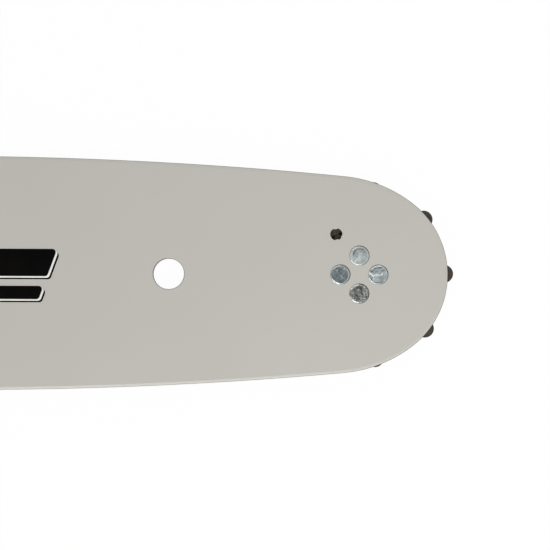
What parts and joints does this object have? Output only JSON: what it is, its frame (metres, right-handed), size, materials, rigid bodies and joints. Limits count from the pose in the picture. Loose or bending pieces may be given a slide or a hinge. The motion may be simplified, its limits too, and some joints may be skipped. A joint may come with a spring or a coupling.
{
  "type": "chainsaw guide bar",
  "caption": "Flat laminated chainsaw guide bar: rounded nose with a toothed sprocket on a roller bearing, grooved rails to carry the chain, and a slotted tail that bolts to the saw.",
  "frame": {"origin": "middle of the stud slot, on the underside (the outer face of the back side plate)", "axes": "+X along the bar from the slotted tail to the sprocket nose, +Y across the bar, +Z through the thickness to the front face"},
  "size_m": [0.2978, 0.06, 0.0041],
  "materials": {
    "bar_paint": "satin warm light grey paint on steel",
    "core_steel": "rolled steel sheet, thinly oiled",
    "sprocket_steel": "hardened steel, oil-blackened",
    "bearing_steel": "ground bearing steel with grease",
    "rivet_steel": "bare steel, upset flush"
  },
  "bodies": {
    "bar": {"front_side_plate": "bar_paint", "back_side_plate": "bar_paint", "core_plate": "core_steel", "bearing_race": "bearing_steel", "nose_rivets": "rivet_steel"},
    "sprocket": {"nose_sprocket": "sprocket_steel"},
    "rollers": {"roller_01": "bearing_steel", "roller_02": "bearing_steel", "roller_03": "bearing_steel", "roller_04": "bearing_steel", "roller_05": "bearing_steel", "roller_06": "bearing_steel", "roller_07": "bearing_steel", "roller_08": "bearing_steel", "roller_09": "bearing_steel", "roller_10": "bearing_steel", "roller_11": "bearing_steel", "roller_12": "bearing_steel", "roller_13": "bearing_steel", "roller_14": "bearing_steel", "roller_15": "bearing_steel", "roller_16": "bearing_steel", "roller_17": "bearing_steel", "roller_18": "bearing_steel", "roller_19": "bearing_steel", "roller_20": "bearing_steel"}
  },
  "joints": [
    {"name": "sprocket_spin", "type": "hinge", "parent": "bar", "child": "sprocket", "pos_m": [0.2317, 0, 0.00205], "axis": [0, 0, 1], "continuous": true},
    {"name": "roller_orbit", "type": "hinge", "parent": "bar", "child": "rollers", "pos_m": [0.2317, 0, 0.00205], "axis": [0, 0, 1], "continuous": true}
  ],
  "couplings": [
    {"joint": "roller_orbit", "follows": "sprocket_spin", "ratio": 0.57871}
  ]
}
